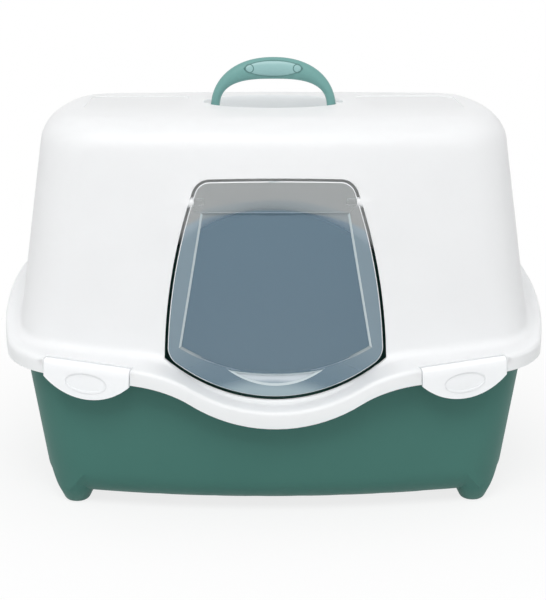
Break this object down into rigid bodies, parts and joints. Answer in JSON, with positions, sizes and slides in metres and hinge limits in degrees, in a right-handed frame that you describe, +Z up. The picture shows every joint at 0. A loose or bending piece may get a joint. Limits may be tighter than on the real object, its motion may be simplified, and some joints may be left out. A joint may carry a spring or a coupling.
{
  "type": "covered litter box",
  "caption": "Covered litter box: a deep footed tray under a lift-off hood with a see-through swing flap, a folding carry handle and hinged clips that hold the hood to the tray's rim.",
  "frame": {"origin": "centre of the footprint, on the floor under the feet", "axes": "+X to the right seen from the entrance, -Y out of the entrance, +Z up"},
  "size_m": [0.574, 0.4, 0.4328],
  "materials": {
    "tray_plastic": "grey-green, satin moulded",
    "hood_plastic": "white, satin moulded",
    "flap_plastic": "smoky see-through, polished",
    "handle_plastic": "teal, satin moulded",
    "clip_plastic": "white, satin moulded"
  },
  "bodies": {
    "tray": {"tray": "tray_plastic"},
    "hood": {"hood": "hood_plastic"},
    "flap": {"door_flap": "flap_plastic"},
    "handle": {"carry_handle": "handle_plastic"},
    "clip_front_left": {"clip_front_left": "clip_plastic"},
    "clip_front_right": {"clip_front_right": "clip_plastic"},
    "clip_rear_left": {"clip_rear_left": "clip_plastic"},
    "clip_rear_right": {"clip_rear_right": "clip_plastic"}
  },
  "joints": [
    {"name": "hood_lift", "type": "slide", "parent": "tray", "child": "hood", "axis": [0, 0, 1], "range_m": [0, 0.3]},
    {"name": "flap_swing", "type": "hinge", "parent": "hood", "child": "flap", "pos_m": [0, -0.13469, 0.30718], "axis": [1, 0, 0], "range_deg": [-80, 80]},
    {"name": "handle_fold", "type": "hinge", "parent": "hood", "child": "handle", "pos_m": [0, 0.03, 0.3775], "axis": [1, 0, 0], "range_deg": [-88, 88]},
    {"name": "clip_front_left_turn", "type": "hinge", "parent": "hood", "child": "clip_front_left", "pos_m": [-0.18167, -0.17079, 0.15191], "axis": [-0.9359, 0.3501, 0.0385], "range_deg": [-10, 80]},
    {"name": "clip_front_right_turn", "type": "hinge", "parent": "hood", "child": "clip_front_right", "pos_m": [0.18167, -0.17079, 0.15191], "axis": [-0.9359, -0.3501, -0.0385], "range_deg": [-10, 80]},
    {"name": "clip_rear_left_turn", "type": "hinge", "parent": "hood", "child": "clip_rear_left", "pos_m": [-0.19889, 0.17991, 0.19049], "axis": [0.9771, 0.2116, 0.0233], "range_deg": [-10, 80]},
    {"name": "clip_rear_right_turn", "type": "hinge", "parent": "hood", "child": "clip_rear_right", "pos_m": [0.19889, 0.17991, 0.19049], "axis": [0.9771, -0.2116, -0.0233], "range_deg": [-10, 80]}
  ]
}
